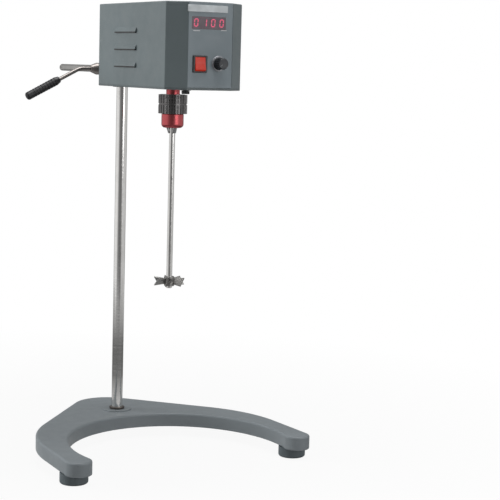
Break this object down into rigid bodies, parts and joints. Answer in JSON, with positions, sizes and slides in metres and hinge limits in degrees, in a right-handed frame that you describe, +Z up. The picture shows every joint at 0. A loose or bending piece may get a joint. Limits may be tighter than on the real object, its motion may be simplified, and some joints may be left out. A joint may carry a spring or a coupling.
{
  "type": "overhead laboratory stirrer",
  "caption": "Overhead laboratory stirrer: motor head with chuck and stirring shaft, held by a lever clamp on a rod that stands in a horseshoe base.",
  "frame": {"origin": "on the bench plane, straight below the axis of the column", "axes": "+Z up; -Y to the front, where the head and the open side of the base are; +X to the right as seen from the front"},
  "size_m": [0.3658, 0.4351, 0.6168],
  "materials": {
    "base_paint": "fine-textured light grey powder coat",
    "foot_rubber": "matt grey rubber",
    "fastener_steel": "zinc-plated steel",
    "rod_steel": "polished stainless steel",
    "bar_steel": "ground stainless steel",
    "shaft_steel": "polished stainless steel",
    "collar_rubber": "black rubber",
    "clamp_metal": "grey painted casting",
    "clamp_steel": "brownish machined steel",
    "pad_brass": "plain brass",
    "grip_plastic": "black ribbed grip",
    "housing_paint": "fine-textured grey powder coat",
    "panel_paint": "smooth grey panel",
    "plate_silver": "bare silver plate",
    "window_tint": "dark red tinted window",
    "board_green": "green board",
    "switch_black": "black moulded plastic",
    "rocker_red": "translucent red plastic, lit",
    "dial_silver": "satin silver",
    "knob_plastic": "black plastic",
    "frame_steel": "machined steel",
    "frame_alloy": "milled alloy",
    "gear_brass": "cut brass",
    "gear_plastic": "natural moulded plastic",
    "motor_steel": "plated steel",
    "magnet_dark": "sintered magnet",
    "chuck_red": "red anodised",
    "sleeve_black": "black anodised, fluted"
  },
  "bodies": {
    "stand": {"base_casting": "base_paint", "feet": "foot_rubber", "foot_screws": "fastener_steel"},
    "column": {"column_rod": "rod_steel", "column_ring": "collar_rubber", "column_washer": "fastener_steel", "column_nut": "fastener_steel"},
    "clamp": {"boss_head": "clamp_metal", "clamp_pad": "pad_brass"},
    "lever": {"clamp_screw": "clamp_steel", "lever_arm": "clamp_steel", "lever_grip": "grip_plastic"},
    "head": {"support_bar": "bar_steel", "bar_block": "frame_alloy", "bar_set_screws": "fastener_steel", "head_cover": "housing_paint", "floor_plate": "housing_paint", "floor_screws": "fastener_steel", "back_cover": "housing_paint", "back_screws": "fastener_steel", "cable_gland": "switch_black", "gland_seal": "collar_rubber", "front_panel": "panel_paint", "name_plate": "plate_silver", "display_window": "window_tint", "display_module": "board_green", "switch_body": "switch_black", "potentiometer": "switch_black", "pot_nut": "fastener_steel", "dial_ring": "dial_silver", "fuse_holder": "switch_black", "gear_pillars": "frame_steel", "gear_plate": "frame_alloy", "bearing_outer_rings": "frame_steel", "motor_can": "motor_steel", "motor_magnets": "magnet_dark", "motor_cap": "motor_steel", "speed_sensor": "switch_black", "board_standoffs": "frame_steel", "control_board": "board_green"},
    "spindle": {"spindle": "frame_steel", "spindle_gear": "gear_plastic", "bearing_inner_rings": "frame_steel", "chuck_hub": "chuck_red", "chuck_body": "frame_steel", "chuck_collar": "chuck_red"},
    "sleeve": {"chuck_sleeve": "sleeve_black"},
    "jaw_1": {"chuck_jaw_1": "frame_steel"},
    "jaw_2": {"chuck_jaw_2": "frame_steel"},
    "jaw_3": {"chuck_jaw_3": "frame_steel"},
    "tool": {"stirrer_shaft": "shaft_steel", "impeller": "shaft_steel", "impeller_screw": "fastener_steel"},
    "rotor": {"motor_rotor": "motor_steel", "motor_pinion": "gear_brass", "encoder_disc": "magnet_dark"},
    "rocker": {"switch_rocker": "rocker_red"},
    "knob": {"speed_knob": "knob_plastic", "pot_shaft": "fastener_steel"},
    "fuse": {"fuse_cap": "switch_black"}
  },
  "joints": [
    {"name": "column_turn", "type": "hinge", "parent": "stand", "child": "column", "pos_m": [0, 0, 0.3], "axis": [0, 0, 1], "range_deg": [-180, 180]},
    {"name": "head_height", "type": "slide", "parent": "column", "child": "clamp", "axis": [0, 0, 1], "range_m": [-0.2, 0.05]},
    {"name": "clamp_lever_turn", "type": "hinge", "parent": "clamp", "child": "lever", "pos_m": [-0.05, 0, 0.528], "axis": [-1, 0, 0], "range_deg": [0, 180]},
    {"name": "head_reach", "type": "slide", "parent": "clamp", "child": "head", "axis": [0, -1, 0], "range_m": [-0.012, 0.1]},
    {"name": "spindle_spin", "type": "hinge", "parent": "head", "child": "spindle", "pos_m": [0, -0.1595, 0.5], "axis": [0, 0, 1], "continuous": true},
    {"name": "motor_spin", "type": "hinge", "parent": "head", "child": "rotor", "pos_m": [0, -0.122, 0.57], "axis": [0, 0, 1], "continuous": true},
    {"name": "chuck_sleeve_turn", "type": "hinge", "parent": "spindle", "child": "sleeve", "pos_m": [0, -0.1595, 0.485], "axis": [0, 0, 1], "range_deg": [0, 720]},
    {"name": "jaw_1_slide", "type": "slide", "parent": "spindle", "child": "jaw_1", "axis": [0.1703, 0.1193, 0.9781], "range_m": [0, 0.0041]},
    {"name": "jaw_2_slide", "type": "slide", "parent": "spindle", "child": "jaw_2", "axis": [-0.1884, 0.0879, 0.9781], "range_m": [0, 0.0041]},
    {"name": "jaw_3_slide", "type": "slide", "parent": "spindle", "child": "jaw_3", "axis": [0.0181, -0.2071, 0.9781], "range_m": [0, 0.0041]},
    {"name": "tool_pull", "type": "slide", "parent": "spindle", "child": "tool", "axis": [0, 0, -1], "range_m": [0, 0.034]},
    {"name": "rocker_tilt", "type": "hinge", "parent": "head", "child": "rocker", "pos_m": [-0.0148, -0.2596, 0.5385], "axis": [1, 0, 0], "range_deg": [0, 18]},
    {"name": "speed_knob_turn", "type": "hinge", "parent": "head", "child": "knob", "pos_m": [0.0125, -0.265, 0.5395], "axis": [0, -1, 0], "range_deg": [-260, 40]},
    {"name": "fuse_cap_turn", "type": "hinge", "parent": "head", "child": "fuse", "pos_m": [-0.004, -0.203, 0.5], "axis": [0, 0, 1], "range_deg": [-90, 0]}
  ],
  "couplings": [
    {"joint": "motor_spin", "follows": "spindle_spin", "ratio": -4},
    {"joint": "jaw_1_slide", "follows": "chuck_sleeve_turn", "m_per_rad": 0.00031831},
    {"joint": "jaw_2_slide", "follows": "chuck_sleeve_turn", "m_per_rad": 0.00031831},
    {"joint": "jaw_3_slide", "follows": "chuck_sleeve_turn", "m_per_rad": 0.00031831}
  ]
}
